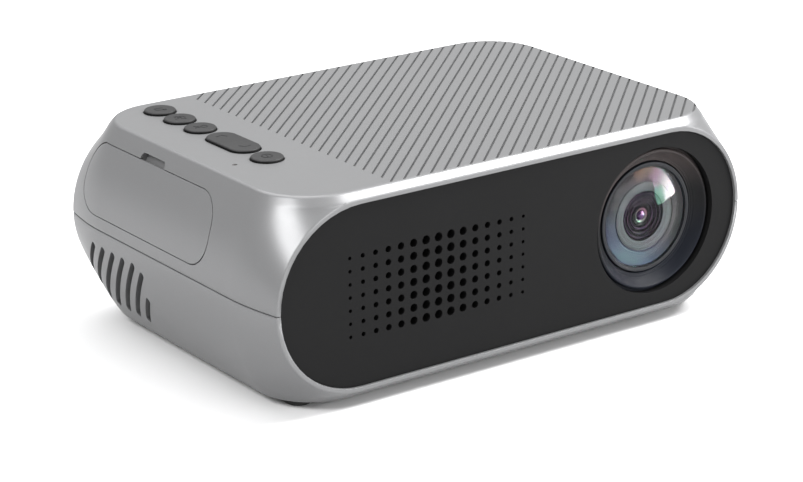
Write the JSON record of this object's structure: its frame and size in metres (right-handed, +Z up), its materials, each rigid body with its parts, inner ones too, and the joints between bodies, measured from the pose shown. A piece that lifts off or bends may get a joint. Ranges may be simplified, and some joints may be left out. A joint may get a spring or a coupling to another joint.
{
  "type": "mini projector",
  "caption": "Pocket LED projector: arc-sided silver shell, perforated charcoal front with a rotating focus ring, round top keys, tilt-out battery cover and side vents.",
  "frame": {"origin": "centre of the footprint on the surface that the rubber feet stand on", "axes": "+X to the right seen from the lens side, the front with the lens faces -Y, +Z up"},
  "size_m": [0.126, 0.082, 0.0465],
  "materials": {
    "body_silver": "satin silver-grey lacquer on ABS",
    "panel_charcoal": "fine matte charcoal",
    "black_plastic": "matte black",
    "ring_black": "turned satin black",
    "key_grey": "matte dark grey with black sides",
    "clear_amber": "clear light pipe",
    "smoked": "smoked infrared window",
    "rubber": "matte black rubber",
    "steel": "zinc-plated steel",
    "brass": "turned brass",
    "aluminium": "extruded aluminium",
    "lens_glass": "coated optical glass",
    "lcd_glass": "polarised panel glass",
    "fresnel": "clear acrylic with fine rings",
    "pcb": "green solder mask",
    "chip": "moulded epoxy",
    "led": "phosphor dome",
    "white_plastic": "white reflector plastic",
    "mesh": "woven acoustic mesh",
    "cone": "pressed paper",
    "copper": "enamelled copper",
    "battery_wrap": "plain blue wrap",
    "flex": "polyimide film",
    "socket_steel": "stamped shell"
  },
  "bodies": {
    "casing": {"top_shell": "body_silver", "bottom_shell": "body_silver", "front_panel": "panel_charcoal", "rear_panel": "panel_charcoal", "speaker_mesh": "mesh", "ir_window": "smoked", "rubber_feet": "rubber", "case_screws": "steel", "tripod_insert": "brass", "keypad_board": "pcb", "tact_switches": "steel", "indicator_light_pipe": "clear_amber", "lens_mount_tube": "black_plastic", "light_box": "black_plastic", "engine_screws": "steel", "fresnel_lenses": "fresnel", "lcd_panel": "lcd_glass", "heat_glass": "fresnel", "reflector_cone": "white_plastic", "led_board": "aluminium", "led_chip": "led", "heatsink": "aluminium", "lcd_ribbon": "flex", "blower_housing": "black_plastic", "blower_cover": "black_plastic", "fan_coil": "copper", "fan_screws": "steel", "main_board": "pcb", "board_screws": "steel", "board_chips": "chip", "hdmi_socket": "socket_steel", "usb_socket": "socket_steel", "card_socket": "socket_steel", "audio_jacks": "black_plastic", "dc_jack": "black_plastic", "battery_bay": "black_plastic", "battery_pack": "battery_wrap", "battery_contacts": "brass", "speaker_basket": "black_plastic", "speaker_cone": "cone", "speaker_magnet": "steel"},
    "return_key": {"button_return": "key_grey"},
    "source_key": {"button_source": "key_grey"},
    "ok_key": {"button_ok": "key_grey"},
    "power_key": {"button_power": "key_grey"},
    "arrow_rocker": {"rocker_key": "key_grey"},
    "battery_door": {"battery_cover": "body_silver"},
    "focus_turn_ring": {"focus_ring": "ring_black"},
    "lens_group": {"lens_barrel": "black_plastic", "focus_drive_pins": "steel", "lens_retaining_ring": "ring_black", "front_lens": "lens_glass", "middle_lens": "lens_glass", "rear_lens": "lens_glass"},
    "blower_wheel": {"fan_rotor": "black_plastic"}
  },
  "joints": [
    {"name": "return_press", "type": "slide", "parent": "casing", "child": "return_key", "axis": [0, 0, -1], "range_m": [0, 0.0004], "stiffness_N_per_m": 2500, "springref_m": -0.0002},
    {"name": "source_press", "type": "slide", "parent": "casing", "child": "source_key", "axis": [0, 0, -1], "range_m": [0, 0.0004], "stiffness_N_per_m": 2500, "springref_m": -0.0002},
    {"name": "ok_press", "type": "slide", "parent": "casing", "child": "ok_key", "axis": [0, 0, -1], "range_m": [0, 0.0004], "stiffness_N_per_m": 2500, "springref_m": -0.0002},
    {"name": "power_press", "type": "slide", "parent": "casing", "child": "power_key", "axis": [0, 0, -1], "range_m": [0, 0.0004], "stiffness_N_per_m": 2500, "springref_m": -0.0002},
    {"name": "rocker_tilt", "type": "hinge", "parent": "casing", "child": "arrow_rocker", "pos_m": [-0.0436, 0.00173, 0.04365], "axis": [1, 0, 0], "range_deg": [-2.4, 2.4], "stiffness_Nm_per_rad": 0.2},
    {"name": "battery_cover_tilt", "type": "hinge", "parent": "casing", "child": "battery_door", "pos_m": [-0.0629, 0.0091, 0.02675], "axis": [0, -1, 0], "range_deg": [0, 60]},
    {"name": "focus_turn", "type": "hinge", "parent": "casing", "child": "focus_turn_ring", "pos_m": [0.0374, -0.025, 0.0238], "axis": [0, 1, 0], "range_deg": [-31, 31]},
    {"name": "lens_travel", "type": "slide", "parent": "casing", "child": "lens_group", "axis": [0, -1, 0], "range_m": [-0.002, 0.002]},
    {"name": "blower_spin", "type": "hinge", "parent": "casing", "child": "blower_wheel", "pos_m": [-0.038, 0.014, 0.0118], "axis": [0, 0, 1], "continuous": true}
  ],
  "couplings": [
    {"joint": "focus_turn", "follows": "lens_travel", "rad_per_m": 261.85}
  ]
}
